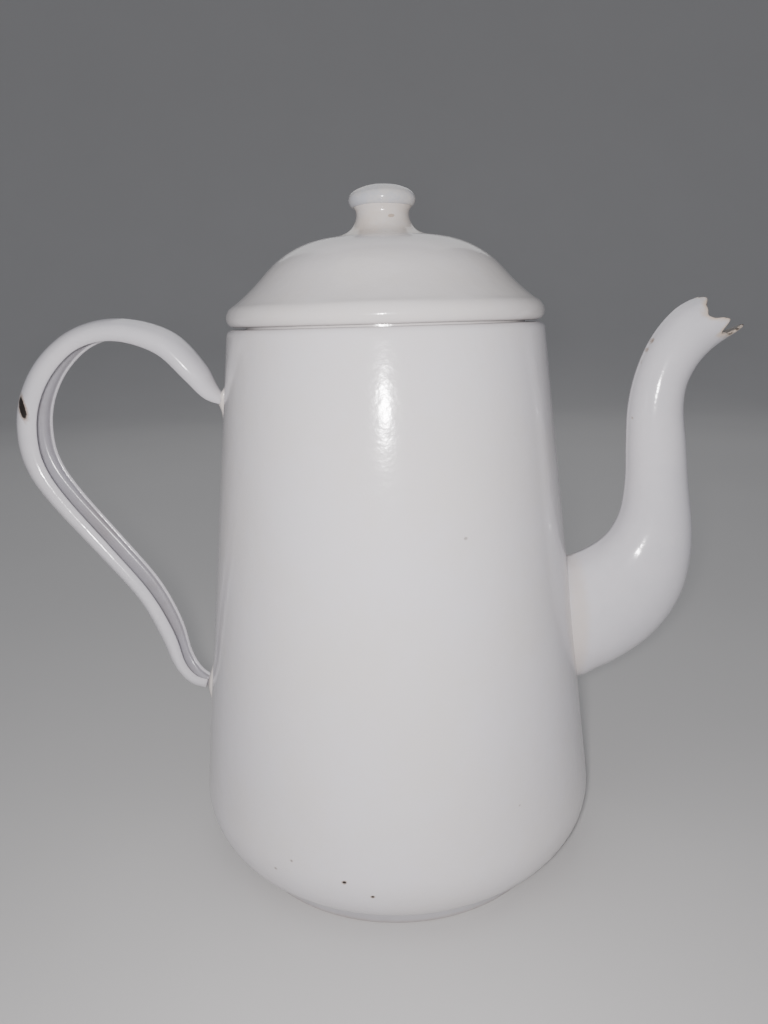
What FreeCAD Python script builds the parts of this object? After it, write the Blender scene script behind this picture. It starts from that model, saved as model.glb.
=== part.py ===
"""Enamelled steel coffee pot: tapered body, swan-neck spout, strap handle and lift-off lid.

Millimetres. +Z is up, +X points to the spout, and the handle is at -X. The origin is the centre of
the foot ring, on the surface that the pot stands on. Every pressing is steel enamelled on both sides.
"""
import FreeCAD
import Part
import math
import os

os.makedirs("parts", exist_ok=True)
V = FreeCAD.Vector

# Driving dimensions
SHEET = 1.2              # enamelled steel sheet
RIM_Z = 168.0            # top of the body, where the lid rests
RIM_R = 46.6             # the cone's radius at the rim
CORNER_R = 46.4          # where the rounded foot corner is centred
CORNER_Z = 22.7
CORNER_A = 17.6          # the corner's radial half-axis
CORNER_B = 20.5          # and its upright one
SHOULDER = 2.2           # radius of the rounded shoulder at the mouth
MOUTH_R = 42.4           # opening in the shoulder
FOOT_R = 52.2            # foot ring
FOOT_INNER_R = 49.0
FOOT_SLOT_R = (50.05, 51.25)
FOOT_TOP = 2.9
FLANGE_END = 1.0         # the wall's flange stops this high inside the fold
FOLD_ROUND = 0.6
PAN_TOP = 3.9            # top of the bottom disc
JOIN_GAP = 0.05          # between two sheets folded or fitted together

SPOUT_SHEET = 1.2
HOLE_R = 2.5             # strainer holes behind the spout
HOLE_STEP_Y = 7.2        # between holes in a row
HOLE_STEP_Z = 6.4        # between rows
HOLE_ROWS = (3, 4, 3, 4, 3)
HOLES_Z = 72.0           # the middle row

STRAP_SHEET = 1.3
LUG_WIDTH = 6.0
LUG_REACH = 3.4          # how far the lugs stand out where the strap meets them
LUG_EDGE = 0.5           # and at their thin ends
LUG_ROOT = 3.0           # how deep the lug's blank reaches before the wall trims it
TOP_LUG = (137.0, 151.5, 147.0)       # low, high and widest point
BOTTOM_LUG = (40.0, 58.5, 51.5)

LID_GAP = 0.3            # between the closed lid and the rim
BEAD_R = 3.0             # rolled bead at the lid's brim
BEAD_AT_R = 44.3
COLLAR_R = 41.6
COLLAR_LOW = 156.0
COLLAR_BLANK_TOP = 180.0               # the collar's blank runs into the dome, which trims it
DOME_TOP = 193.2
DOME_FLAT_R = 11.0                     # flat middle under the knob
DOME_OUT = ((26.6, 190.2), (36.0, 183.0), (39.6, 178.4))     # a point on each arc, and between them
DOME_IN = ((26.0, 189.1), (35.0, 182.2), (38.7, 177.6))
RIVET_R = 2.4
RIVET_FIT = 0.1                        # hole in the dome, wider than the rivet
RIVET_TOP = 204.4
RIVET_FOOT = (3.4, 5.2, 1.6)           # low radius, high radius, height
RIVET_HEAD = (6.0, 1.2)                # radius, height
NECK_FOOT_R = (12.6, 14.8)             # inner and outer radius of the flare on the dome
NECK_FOOT_EDGE = 0.6
NECK_LIFT = 0.1                        # clears the dome, which rises a little past its flat middle
NECK_OUT = ((10.26, 195.4), (7.6, 199.4), (7.9, 200.8), (8.6, 201.8))
NECK_IN = ((7.4, 202.4), (6.6, 201.0), (6.4, 199.4), (8.0, 195.0))
KNOB_TOP = 207.9
CAP_CROWN_R = 17.0                     # how flat the knob's cap is
CAP_CROWN_ENDS = (6.8, 7.6)            # inner and outer radius where the crown turns down
CAP_SIDE_IN = ((8.5, 204.6), (8.8, 203.2))
CAP_CRIMP = ((8.4, 201.2), (9.8, 202.0))
CAP_SIDE_OUT = ((10.1, 203.3), (9.5, 205.2))


# Helpers

def xz(x, z):
    return V(x, 0, z)


def arc(p, q, r):
    """Edge through three points."""
    return Part.Arc(p, q, r).toShape()


def line(p, q):
    return Part.LineSegment(p, q).toShape()


def revolve(edges):
    """Solid of revolution about Z from closed edges in the XZ plane."""
    face = Part.Face(Part.Wire(Part.__sortEdges__(edges)))
    return face.revolve(V(0, 0, 0), V(0, 0, 1), 360)


def polyline(points):
    return [line(xz(*p), xz(*q)) for p, q in zip(points, points[1:])]


def closed(points):
    return polyline(points + points[:1])


def clean(shape):
    """The one solid of a shape that has only one."""
    solids = shape.removeSplitter().Solids
    assert len(solids) == 1, len(solids)
    return solids[0]


# The body's own curves

def cone_slope():
    """Angle of the cone's wall from upright, and the radius and height where the corner meets it."""
    slope = 0.12
    for _ in range(20):
        t = math.atan(math.tan(slope) * CORNER_B / CORNER_A)
        r = CORNER_R + CORNER_A * math.cos(t)
        z = CORNER_Z + CORNER_B * math.sin(t)
        slope = math.atan((r - RIM_R) / (RIM_Z - z))
    return slope, r, z


WALL_SLOPE, CONE_R, CONE_Z = cone_slope()


def wall_r(z, inset=0.0):
    """The cone's outer radius at a height, less an inset square to the wall."""
    return RIM_R + (RIM_Z - z) * math.tan(WALL_SLOPE) - inset / math.cos(WALL_SLOPE)


def corner_z(r, inset):
    """Height of the rounded foot corner's lower side at a radius."""
    share = (r - CORNER_R) / (CORNER_A - inset)
    return CORNER_Z - (CORNER_B - inset) * math.sqrt(1 - share * share)


def corner_arc(r_low, inset):
    """The foot corner from its lower end at r_low up to the cone, as part of an ellipse."""
    a, b = CORNER_A - inset, CORNER_B - inset
    ellipse = Part.Ellipse(xz(CORNER_R, CORNER_Z + b), xz(CORNER_R + a, CORNER_Z), xz(CORNER_R, CORNER_Z))
    low = xz(r_low, corner_z(r_low, inset))
    t = math.atan(math.tan(WALL_SLOPE) * b / a)
    high = xz(CORNER_R + a * math.cos(t), CORNER_Z + b * math.sin(t))
    ends = sorted([ellipse.parameter(low), ellipse.parameter(high)])
    return Part.ArcOfEllipse(ellipse, ends[0], ends[1]).toShape(), low, high


def body_outside():
    """The body's outer form as one solid, to trim what joins it."""
    curve, low, high = corner_arc(FOOT_SLOT_R[1], 0)
    return revolve([curve, line(high, xz(RIM_R, RIM_Z)), line(xz(RIM_R, RIM_Z), xz(0, RIM_Z)),
                    line(xz(0, RIM_Z), xz(0, low.z)), line(xz(0, low.z), low)])


def shoulder(radius, inset):
    """Rounded shoulder: its arc from the cone up to the flat lip, with both ends."""
    centre_z = RIM_Z - SHOULDER
    centre_r = wall_r(centre_z, SHOULDER)
    turn = (WALL_SLOPE + math.pi / 2) / 2
    points = [xz(centre_r + radius * math.cos(a), centre_z + radius * math.sin(a))
              for a in (WALL_SLOPE, turn, math.pi / 2)]
    return arc(*points), points[0], points[2]


def strainer_holes():
    """Hexagonal group of punched holes where the spout leaves the wall."""
    start = CONE_R - 18
    depth = 20
    punches = []
    for row, count in enumerate(HOLE_ROWS):
        z = HOLES_Z + (row - (len(HOLE_ROWS) - 1) / 2) * HOLE_STEP_Z
        for i in range(count):
            y = (i - (count - 1) / 2) * HOLE_STEP_Y
            punches.append(Part.makeCylinder(HOLE_R, depth, V(start, y, z), V(1, 0, 0)))
    return Part.makeCompound(punches)


def body_wall():
    """Tapered shell: flange in the foot, rounded corner, cone, rounded shoulder and flat lip."""
    outer, outer_low, outer_high = corner_arc(FOOT_SLOT_R[1] - JOIN_GAP, 0)
    inner, inner_low, inner_high = corner_arc(FOOT_SLOT_R[0] + JOIN_GAP, SHEET)
    top_out, out_start, out_end = shoulder(SHOULDER, 0)
    top_in, in_start, in_end = shoulder(SHOULDER - SHEET, SHEET)
    edges = [outer, line(outer_high, out_start), top_out,
             line(out_end, xz(MOUTH_R, RIM_Z)), line(xz(MOUTH_R, RIM_Z), xz(MOUTH_R, RIM_Z - SHEET)),
             line(xz(MOUTH_R, RIM_Z - SHEET), in_end), top_in, line(in_start, inner_high), inner,
             line(inner_low, xz(inner_low.x, FLANGE_END)),
             line(xz(inner_low.x, FLANGE_END), xz(outer_low.x, FLANGE_END)),
             line(xz(outer_low.x, FLANGE_END), outer_low)]
    return clean(revolve(edges).cut(strainer_holes()))


def base_pan():
    """Bottom disc, folded down, round and up again at its edge to make the foot ring."""
    f = FOLD_ROUND
    s = f * math.sqrt(0.5)
    edges = closed([(0, PAN_TOP), (0, PAN_TOP - SHEET), (FOOT_INNER_R, PAN_TOP - SHEET),
                    (FOOT_INNER_R, f), (FOOT_INNER_R + f, 0), (FOOT_R - f, 0), (FOOT_R, f),
                    (FOOT_R, FOOT_TOP), (FOOT_SLOT_R[1], FOOT_TOP),
                    (FOOT_SLOT_R[1], FLANGE_END - JOIN_GAP), (FOOT_SLOT_R[0], FLANGE_END - JOIN_GAP),
                    (FOOT_SLOT_R[0], PAN_TOP)])
    edges[3] = arc(xz(FOOT_INNER_R, f), xz(FOOT_INNER_R + f - s, f - s), xz(FOOT_INNER_R + f, 0))
    edges[5] = arc(xz(FOOT_R - f, 0), xz(FOOT_R - f + s, f - s), xz(FOOT_R, f))
    return clean(revolve(edges))


# Spout: stations along its centre line, each an oval square to the line:
# x and z of the centre, the line's angle from level, half-height in the mid-plane, half-width across
SPOUT = [
    (54.0, 71.0, 8, 22.6, 16.5),
    (62.0, 73.0, 9, 21.6, 15.6),
    (69.0, 76.5, 14, 20.4, 14.6),
    (77.0, 82.5, 26, 19.0, 13.4),
    (83.0, 91.5, 46, 16.4, 12.0),
    (85.6, 103.5, 70, 12.7, 10.8),
    (84.8, 117.0, 90, 10.3, 9.9),
    (83.8, 130.0, 93, 9.5, 9.2),
    (83.1, 141.0, 88, 8.8, 8.7),
    (84.4, 150.0, 74, 8.3, 8.4),
    (88.0, 158.2, 59, 8.4, 8.3),
    (94.3, 165.2, 47, 8.6, 8.2),
    (104.2, 171.9, 41, 9.4, 8.1),
]

# The mouth's cut edge in side view: back peak, notch, ear and lip
MOUTH = [(93.4, 174.4), (94.6, 170.6), (96.4, 168.2), (99.0, 167.4), (101.6, 166.4), (100.2, 164.6),
         (99.6, 163.2), (102.4, 162.9), (109.4, 164.2)]


def half_oval(station, inset):
    """The left half of a station's oval, closed along the mid-plane."""
    x, z, degrees, half_high, half_wide = station
    a = math.radians(degrees)
    up = V(-math.sin(a), 0, math.cos(a)) * (half_high - inset)
    out = V(0, 1, 0) * (half_wide - inset)
    centre = V(x, 0, z)
    curve = Part.BSplineCurve()
    points = [centre + up * math.cos(t) + out * math.sin(t) for t in
              [math.pi * i / 8 for i in range(9)]]
    curve.interpolate(Points=points, InitialTangent=out, FinalTangent=out * -1)
    return Part.Wire([curve.toShape(), line(points[-1], points[0])])


def mouth_cutter():
    """Everything beyond the mouth's cut edge."""
    beyond = [(112, 162), (125, 175), (105, 190), (88, 184), (89.5, 175.6)]
    half_span = 30
    face = Part.Face(Part.Wire(closed(MOUTH + beyond)))
    face.translate(V(0, -half_span, 0))
    return face.extrude(V(0, 2 * half_span, 0))


def spout_half():
    """The left one of the two pressed halves; the right one is its mirror image."""
    outer = Part.makeLoft([half_oval(s, 0) for s in SPOUT], True)
    inner = Part.makeLoft([half_oval(s, SPOUT_SHEET) for s in SPOUT], True)
    return clean(outer.cut(inner).cut(body_outside()).cut(mouth_cutter()))


# Handle: stations along the strap's centre line:
# x and z of the centre, the line's angle from level, half-depth in the mid-plane, half-width across
STRAP = [
    (-50.6, 146.6, 155, 1.6, 3.2),
    (-54.6, 149.6, 138, 3.0, 5.2),
    (-59.2, 155.6, 129, 3.8, 7.2),
    (-67.4, 163.6, 145, 3.9, 8.0),
    (-80.0, 168.3, 180, 3.9, 8.0),
    (-92.0, 165.6, 205, 4.0, 8.0),
    (-102.0, 158.4, 228, 4.2, 8.0),
    (-108.4, 148.0, 253, 4.4, 8.0),
    (-110.2, 137.0, 270, 4.5, 8.0),
    (-108.6, 127.0, 292, 4.5, 8.0),
    (-102.8, 116.6, 305, 4.4, 8.0),
    (-90.6, 100.4, 308, 4.2, 7.9),
    (-80.0, 85.4, 303, 4.1, 7.7),
    (-74.0, 71.4, 288, 3.8, 7.3),
    (-70.9, 61.0, 289, 3.6, 6.6),
    (-67.6, 54.9, 312, 3.4, 5.4),
    (-62.6, 52.4, 345, 3.0, 3.8),
]


def channel(station):
    """C section of the strap: bowed outer face, side walls turned in, open towards the hand."""
    x, z, degrees, half_deep, half_wide = station
    a = math.radians(degrees)
    out = V(math.sin(a), 0, -math.cos(a))
    lip = half_wide * 0.62               # half the slot's width
    side = half_deep * 0.25              # how far inwards the strap is widest
    bow, bow_depth = 0.72, 0.7           # a point between the side and the middle of the bowed face
    t = STRAP_SHEET
    lip_t = t * 0.8                      # the lips are rolled thinner

    def at(y, n):
        return V(x, y, z) + out * n

    def wave(width, depth, lip_level):
        """Interpolated curve from one lip round the back to the other."""
        half = [(lip, lip_level), (width, -side), (width * bow, depth)]
        points = [(-y, n) for y, n in half] + [(0, half_deep - half_wide + width)] + half[::-1]
        curve = Part.BSplineCurve()
        curve.interpolate([at(y, n) for y, n in points])
        return curve.toShape()

    low, high = -half_deep, -half_deep + lip_t
    outside = wave(half_wide, half_deep * bow_depth, low)
    inside = wave(half_wide - t, half_deep * bow_depth - lip_t, high)
    return Part.Wire([outside, line(at(lip, low), at(lip, high)), inside.reversed(),
                      line(at(-lip, high), at(-lip, low))])


def handle_strap():
    """Channel swept along the handle's loop, its ends trimmed clear of the wall."""
    return clean(Part.makeLoft([channel(s) for s in STRAP], True).cut(body_outside()))


def lug(z_low, z_high, tip_z, strap):
    """Tapered lug on the wall: thin at both ends, it stands up where it meets the strap's end."""
    outline = [(-wall_r(z_low) + LUG_ROOT, z_low), (-wall_r(z_low) - LUG_EDGE, z_low),
               (-wall_r(tip_z) - LUG_REACH, tip_z), (-wall_r(z_high) - LUG_EDGE, z_high),
               (-wall_r(z_high) + LUG_ROOT, z_high)]
    face = Part.Face(Part.Wire(closed(outline)))
    face.translate(V(0, -LUG_WIDTH / 2, 0))
    blade = face.extrude(V(0, LUG_WIDTH, 0)).cut(body_outside())
    return max(blade.cut(strap).Solids, key=lambda s: s.Volume)


# Lid

def lid_dome():
    """Dome with a concave sweep to a rolled bead at the brim, and a hole for the rivet."""
    t = SHEET
    bead_z = RIM_Z + LID_GAP + BEAD_R
    hole_r = RIVET_R + RIVET_FIT

    def bead(angle, radius):
        """Point on the rolled bead, by angle from level."""
        return xz(BEAD_AT_R + radius * math.cos(angle), bead_z + radius * math.sin(angle))

    up, down, inner = math.pi / 2, -math.pi / 2, BEAD_R - t
    mid_out, join_out, sweep_out = [xz(*p) for p in DOME_OUT]
    mid_in, join_in, sweep_in = [xz(*p) for p in DOME_IN]
    flat_out, flat_in = xz(DOME_FLAT_R, DOME_TOP), xz(DOME_FLAT_R, DOME_TOP - t)
    edges = [
        line(xz(hole_r, DOME_TOP), flat_out), arc(flat_out, mid_out, join_out),
        arc(join_out, sweep_out, bead(up, BEAD_R)),
        arc(bead(up, BEAD_R), bead(0, BEAD_R), bead(down, BEAD_R)),
        line(bead(down, BEAD_R), bead(down, inner)),
        arc(bead(down, inner), bead(0, inner), bead(up, inner)),
        arc(bead(up, inner), sweep_in, join_in), arc(join_in, mid_in, flat_in),
        line(flat_in, xz(hole_r, DOME_TOP - t)), line(xz(hole_r, DOME_TOP - t), xz(hole_r, DOME_TOP)),
    ]
    return clean(revolve(edges))


def lid_collar(dome):
    """Ring that drops into the mouth, welded to the dome's underside."""
    low, height = V(0, 0, COLLAR_LOW), COLLAR_BLANK_TOP - COLLAR_LOW
    ring = Part.makeCylinder(COLLAR_R, height, low).cut(Part.makeCylinder(COLLAR_R - SHEET, height, low))
    return min(ring.cut(dome).Solids, key=lambda s: s.BoundBox.ZMin)


def crown_point(radius, top, r):
    """Point at r on a crown: the cap of a ball of the given radius, its top on the axis."""
    return xz(r, top - radius + math.sqrt(radius * radius - r * r))


def crown(radius, top, r):
    """The crown's outline from the axis out to r."""
    return arc(xz(0, top), crown_point(radius, top, r / 2), crown_point(radius, top, r))


def knob_neck():
    """Hollow spool: flared foot on the dome, waist, and a turned-out top inside the cap."""
    low = DOME_TOP + NECK_LIFT
    foot_in, foot_out = xz(NECK_FOOT_R[0], low), xz(NECK_FOOT_R[1], low)
    foot_edge = xz(NECK_FOOT_R[1], low + NECK_FOOT_EDGE)
    flare_out, waist_out, turn_out, top_out = [xz(*p) for p in NECK_OUT]
    top_in, turn_in, waist_in, flare_in = [xz(*p) for p in NECK_IN]
    return clean(revolve([
        line(foot_out, foot_edge), arc(foot_edge, flare_out, waist_out), arc(waist_out, turn_out, top_out),
        line(top_out, top_in), arc(top_in, turn_in, waist_in), arc(waist_in, flare_in, foot_in),
        line(foot_in, foot_out),
    ]))


def knob_cap(neck):
    """Mushroom cap with its edge crimped in under the neck's top."""
    end_in = crown_point(CAP_CROWN_R - SHEET, KNOB_TOP - SHEET, CAP_CROWN_ENDS[0])
    end_out = crown_point(CAP_CROWN_R, KNOB_TOP, CAP_CROWN_ENDS[1])
    bend_in, side_in = [xz(*p) for p in CAP_SIDE_IN]
    crimp, crimp_turn = [xz(*p) for p in CAP_CRIMP]
    side_out, bend_out = [xz(*p) for p in CAP_SIDE_OUT]
    return clean(revolve([
        line(xz(0, KNOB_TOP), xz(0, KNOB_TOP - SHEET)),
        crown(CAP_CROWN_R - SHEET, KNOB_TOP - SHEET, CAP_CROWN_ENDS[0]), arc(end_in, bend_in, side_in),
        line(side_in, crimp), arc(crimp, crimp_turn, side_out), arc(side_out, bend_out, end_out),
        crown(CAP_CROWN_R, KNOB_TOP, CAP_CROWN_ENDS[1]),
    ]).cut(neck))


def knob_rivet():
    """Rivet through the dome: tapered head under the lid, shank, and a flat head inside the cap."""
    low = DOME_TOP - SHEET - JOIN_GAP
    foot_low, foot_high, foot_height = RIVET_FOOT
    head_r, head_height = RIVET_HEAD
    shank = Part.makeCylinder(RIVET_R, RIVET_TOP - low, V(0, 0, low))
    foot = Part.makeCone(foot_low, foot_high, foot_height, V(0, 0, low - foot_height))
    head = Part.makeCylinder(head_r, head_height, V(0, 0, RIVET_TOP - head_height))
    return clean(shank.fuse(foot).fuse(head))


def build():
    """Every node of the pot, by name."""
    dome = lid_dome()
    neck = knob_neck()
    strap = handle_strap()
    spout = spout_half()
    return {
        "body_wall": body_wall(),
        "base_pan": base_pan(),
        "spout_left_half": spout,
        "spout_right_half": spout.mirror(V(0, 0, 0), V(0, 1, 0)),
        "handle_strap": strap,
        "handle_top_lug": lug(*TOP_LUG, strap),
        "handle_bottom_lug": lug(*BOTTOM_LUG, strap),
        "lid_dome": dome,
        "lid_collar": lid_collar(dome),
        "knob_neck": neck,
        "knob_cap": knob_cap(neck),
        "knob_rivet": knob_rivet(),
    }


for name, shape in build().items():
    assert shape.isValid(), name
    shape.exportStep(f"parts/{name}.step")
    box = shape.BoundBox
    print(f"{name:18s} volume {shape.Volume:9.1f}  x {box.XMin:7.1f} {box.XMax:7.1f}  "
          f"y {box.YMin:6.1f} {box.YMax:6.1f}  z {box.ZMin:6.1f} {box.ZMax:6.1f}")
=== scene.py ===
# %% [markdown]
# # An old enamelled coffee pot
# The pot is made of thin steel pressings covered inside and out with white glass enamel: a tapered
# body folded to a bottom pan, a swan-neck spout, a strap handle and a lid with a hollow knob. The CAD
# frame gives every size and place, and this lesson builds the smooth, glazed surfaces around it.

# %% Load the frame
import math

import bmesh
import bpy
from mathutils import Matrix, Vector


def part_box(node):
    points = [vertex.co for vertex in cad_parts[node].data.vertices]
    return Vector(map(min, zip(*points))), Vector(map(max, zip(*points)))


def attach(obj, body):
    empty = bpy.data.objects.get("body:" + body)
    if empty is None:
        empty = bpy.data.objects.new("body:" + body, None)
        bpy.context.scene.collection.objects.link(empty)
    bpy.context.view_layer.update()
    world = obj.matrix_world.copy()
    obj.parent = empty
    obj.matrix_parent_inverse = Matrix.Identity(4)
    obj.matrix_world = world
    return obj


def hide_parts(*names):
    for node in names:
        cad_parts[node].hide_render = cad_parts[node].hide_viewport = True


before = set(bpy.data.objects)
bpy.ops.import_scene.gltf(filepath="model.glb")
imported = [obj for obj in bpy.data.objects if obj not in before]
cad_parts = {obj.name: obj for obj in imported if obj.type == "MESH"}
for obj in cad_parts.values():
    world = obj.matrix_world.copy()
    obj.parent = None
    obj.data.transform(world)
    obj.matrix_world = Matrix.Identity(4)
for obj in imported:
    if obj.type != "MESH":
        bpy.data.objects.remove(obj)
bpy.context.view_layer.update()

MM = 0.001

# %% [markdown]
# The sizes come first. The frame's boxes give the rim, the widest radius, the foot and the lid, so
# the pieces below follow the CAD if it changes. All lengths here are in millimetres, because a potter
# or tinsmith thinks in them, and MM turns them into Blender's metres at the last moment.

# %% Sizes taken from the frame


def box_mm(node):
    """Lowest and highest corner of a CAD node, in millimetres."""
    return [[c / MM for c in corner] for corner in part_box(node)]


RIM_Z = box_mm("body_wall")[1][2]
WIDEST_R = box_mm("body_wall")[1][1]
FOOT_R = box_mm("base_pan")[1][1]
KNOB_TOP = box_mm("knob_cap")[1][2]
LID_LOW = box_mm("lid_dome")[0][2]
COLLAR_LOW = box_mm("lid_collar")[0][2]
COLLAR_R = 41.6
SHEET = 1.2
RIM_R = 47.3
MOUTH_R = 42.4
SHOULDER = 2.2
CORNER = {"r": 46.9, "z": 21.8, "a": 17.05, "b": 18.6}
WALL_TAN = 0.1152
print(f"rim {RIM_Z:.1f} high, widest radius {WIDEST_R:.1f}, foot {FOOT_R:.1f}, knob top {KNOB_TOP:.1f}")


def wall_r(z):
    """Outer radius of the tapered wall at a height."""
    return RIM_R + (RIM_Z - z) * WALL_TAN


# %% [markdown]
# The camera comes early, so that every trial render is framed alike. It stands level with the rim and
# close to the pot, as a hand-held phone does, and looks down a little: the wide lens makes the body
# spread towards its foot. The lens is given as a focal length over the picture's width.

# %% Camera
PICTURE = (768, 1024)
FOCAL = 770.0
SENSOR = 36.0
camera_data = bpy.data.cameras.new("camera")
camera_data.sensor_fit = "HORIZONTAL"
camera_data.sensor_width = SENSOR
camera_data.lens = SENSOR * FOCAL / PICTURE[0]
camera_data.clip_start = 0.01
camera = bpy.data.objects.new("camera", camera_data)
bpy.context.scene.collection.objects.link(camera)
turn = (Matrix.Rotation(0.004, 4, "Z") @ Matrix.Rotation(math.radians(90 - 13.83), 4, "X")
        @ Matrix.Rotation(math.radians(-1.59), 4, "Z"))
camera.matrix_world = Matrix.Translation(Vector((-1.0, -239.7, 168.8)) * MM) @ turn
bpy.context.scene.camera = camera
print("camera lens", round(camera_data.lens, 2), "mm")

# %% [markdown]
# The stage is a pale floor that curves up into a backdrop, so no horizon line cuts the picture. It is
# one plane whose back edge is extruded upwards and rounded with a bevel.

# %% Floor


def start_fresh():
    """Back to object mode with nothing selected: the frame's nodes arrive selected."""
    if bpy.context.object and bpy.context.object.mode != "OBJECT":
        bpy.ops.object.mode_set(mode="OBJECT")
    bpy.ops.object.select_all(action="DESELECT")


def pick(piece, test, kind="VERT"):
    """In edit mode, selects the vertices, edges or faces whose middle passes the test."""
    bpy.ops.mesh.select_mode(type=kind)
    bpy.ops.mesh.select_all(action="DESELECT")
    shape = bmesh.from_edit_mesh(piece.data)
    for part in {"VERT": shape.verts, "EDGE": shape.edges, "FACE": shape.faces}[kind]:
        corners = [part] if kind == "VERT" else list(part.verts)
        middle = sum((v.co for v in corners), Vector()) / len(corners)
        part.select = bool(test(middle))
    shape.select_flush_mode()
    bmesh.update_edit_mesh(piece.data)


def finish_modifiers(piece):
    """Applies every modifier, in order, and shades the piece smooth."""
    start_fresh()
    piece.select_set(True)
    bpy.context.view_layer.objects.active = piece
    for modifier in list(piece.modifiers):
        bpy.ops.object.modifier_apply(modifier=modifier.name)
    bpy.ops.object.shade_smooth()
    piece.data.update()
    print(f"{piece.name}: {len(piece.data.polygons)} faces")
    return piece


start_fresh()
bpy.ops.mesh.primitive_plane_add(size=4, location=(0, 0, 0))
floor = bpy.context.object
floor.name = "floor"
bpy.ops.object.mode_set(mode="EDIT")
pick(floor, lambda c: c.y > 1.9, "EDGE")
bpy.ops.mesh.extrude_region_move(TRANSFORM_OT_translate={"value": (0, 0, 2.5)})
pick(floor, lambda c: c.y > 1.9 and c.z < 0.01, "EDGE")
bpy.ops.mesh.bevel(offset=0.8, segments=16)
bpy.ops.object.mode_set(mode="OBJECT")
bpy.ops.object.shade_smooth()

# %% [markdown]
# Light. A small soft lamp just over the lens gives the bright streak down the middle of the body and
# lets the sides fall off to grey, which is how glossy enamel shows its roundness. A big soft panel
# overhead and a pale surrounding fill the rest, so the pot also reads from behind.

# %% Lights and surrounding


def lamp(name, place_mm, aim_mm, size_mm, watts, tint=(1, 1, 1)):
    """A square soft lamp that looks from one place to another."""
    data = bpy.data.lights.new(name, "AREA")
    data.shape = "SQUARE"
    data.size = size_mm * MM
    data.energy = watts
    data.color = tint
    thing = bpy.data.objects.new(name, data)
    bpy.context.scene.collection.objects.link(thing)
    place, aim = Vector(place_mm) * MM, Vector(aim_mm) * MM
    facing = (aim - place).to_track_quat("-Z", "Y").to_matrix().to_4x4()
    thing.matrix_world = Matrix.Translation(place) @ facing


lamp("lamp_by_lens", (-9, -246, 171), (0, 0, 110), 14, 0.64, (1.0, 0.97, 0.98))
lamp("panel_above", (-150, -250, 900), (0, 0, 80), 700, 1.0)
lamp("panel_behind", (0, 900, 900), (0, 0, 60), 900, 1.8)
world = bpy.data.worlds.new("surrounding")
bpy.context.scene.world = world
world.use_nodes = True
world.node_tree.nodes["Background"].inputs["Color"].default_value = (0.78, 0.80, 0.86, 1)
world.node_tree.nodes["Background"].inputs["Strength"].default_value = 0.3

# %% [markdown]
# Round pressings are turned on a lathe from the side view of their wall. In Blender that could be a
# Screw modifier or a spin, but drawing ring by ring keeps full control of where the rings lie: a circle
# is added at the outline's first point, and each next ring is extruded, moved and resized. Rings close
# together hold a tight bend when the surface is later subdivided.

# %% Lathe helpers


def bend(r, z, radius, start, end, steps):
    """Points on an arc in the side view, from one angle to another, in degrees from level."""
    angles = [math.radians(start + (end - start) * i / steps) for i in range(steps + 1)]
    return [(r + radius * math.cos(a), z + radius * math.sin(a)) for a in angles]


def through(p, q, s, steps):
    """Points on the circular arc from p through q to s in the side view."""
    ax, ay, bx, by = q[0] - p[0], q[1] - p[1], s[0] - p[0], s[1] - p[1]
    d = 2 * (ax * by - ay * bx)
    ux = (by * (ax * ax + ay * ay) - ay * (bx * bx + by * by)) / d
    uy = (ax * (bx * bx + by * by) - bx * (ax * ax + ay * ay)) / d
    first = math.atan2(-uy, -ux)
    last = math.atan2(by - uy, bx - ux)
    middle = math.atan2(ay - uy, ax - ux)
    full = 2 * math.pi
    swing = (last - first) % full
    if (middle - first) % full > swing:
        swing -= full
    radius = math.hypot(ux, uy)
    return [(p[0] + ux + radius * math.cos(first + swing * i / steps),
             p[1] + uy + radius * math.sin(first + swing * i / steps)) for i in range(steps + 1)]


def joined(*stretches):
    """One outline from several, without repeating the points where they meet."""
    outline = []
    for stretch in stretches:
        for point in stretch:
            if not outline or math.dist(point, outline[-1]) > 0.02:
                outline.append(point)
    return outline


def turned(name, outline, around=96, closed_end=False, closed_start=False):
    """A turned sheet: circle at the outline's first point, then ring after ring."""
    start_fresh()
    r, z = outline[0]
    bpy.ops.mesh.primitive_circle_add(vertices=around, radius=r * MM, location=(0, 0, 0))
    piece = bpy.context.object
    piece.name = name
    bpy.ops.object.mode_set(mode="EDIT")
    bpy.ops.transform.translate(value=(0, 0, z * MM))
    if closed_start:
        bpy.ops.mesh.extrude_region_move()
        bpy.ops.mesh.merge(type="CENTER")
        pick(piece, lambda c: math.hypot(c.x, c.y) > 0.9 * r * MM)
    for (r0, z0), (r1, z1) in zip(outline, outline[1:]):
        bpy.ops.mesh.extrude_region_move(TRANSFORM_OT_translate={"value": (0, 0, (z1 - z0) * MM)})
        share = r1 / r0
        bpy.ops.transform.resize(value=(share, share, 1), center_override=(0, 0, z1 * MM))
    if closed_end:
        bpy.ops.mesh.extrude_region_move()
        bpy.ops.mesh.merge(type="CENTER")
    bpy.ops.mesh.select_all(action="SELECT")
    bpy.ops.mesh.normals_make_consistent(inside=False)
    bpy.ops.object.mode_set(mode="OBJECT")
    return piece


def flip(piece):
    """Turns every face of an open sheet round."""
    bpy.ops.object.mode_set(mode="EDIT")
    bpy.ops.mesh.select_all(action="SELECT")
    bpy.ops.mesh.flip_normals()
    bpy.ops.object.mode_set(mode="OBJECT")


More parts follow.
